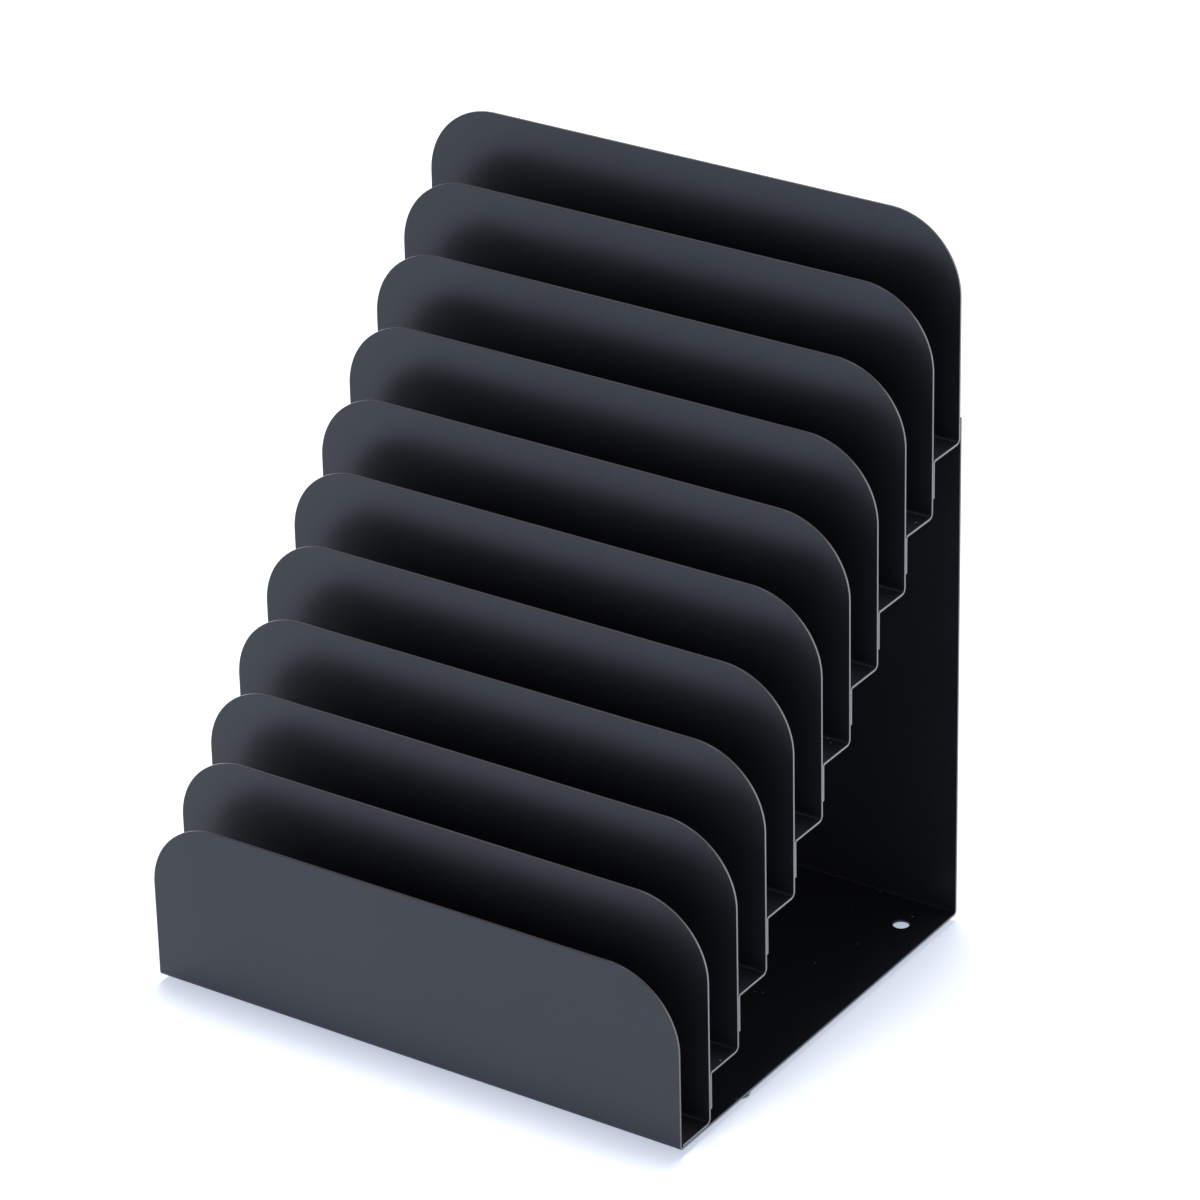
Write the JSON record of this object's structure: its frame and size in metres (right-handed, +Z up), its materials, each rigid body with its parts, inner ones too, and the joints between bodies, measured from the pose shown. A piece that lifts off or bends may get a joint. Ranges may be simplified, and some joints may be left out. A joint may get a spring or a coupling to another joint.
{
  "type": "slanted file rack",
  "caption": "Free-standing stepped desk rack of bent black sheet steel, with a rising row of upright slots for files, envelopes and papers.",
  "frame": {"origin": "on the desk under the middle of the rack's outer box", "axes": "+X to the right seen from the front, +Y from the low front panel to the tall back, +Z up"},
  "size_m": [0.254, 0.2132, 0.3168],
  "materials": {
    "powder_coat": "satin black powder coat on sheet steel",
    "bumper_rubber": "clear soft bumper, slightly clouded"
  },
  "bodies": {
    "root": {"base_sheet": "powder_coat", "divider_1": "powder_coat", "divider_2": "powder_coat", "divider_3": "powder_coat", "divider_4": "powder_coat", "divider_5": "powder_coat", "divider_6": "powder_coat", "divider_7": "powder_coat", "divider_8": "powder_coat", "divider_9": "powder_coat", "divider_10": "powder_coat", "front_left_foot": "bumper_rubber", "front_right_foot": "bumper_rubber", "rear_left_foot": "bumper_rubber", "rear_right_foot": "bumper_rubber"}
  },
  "joints": []
}
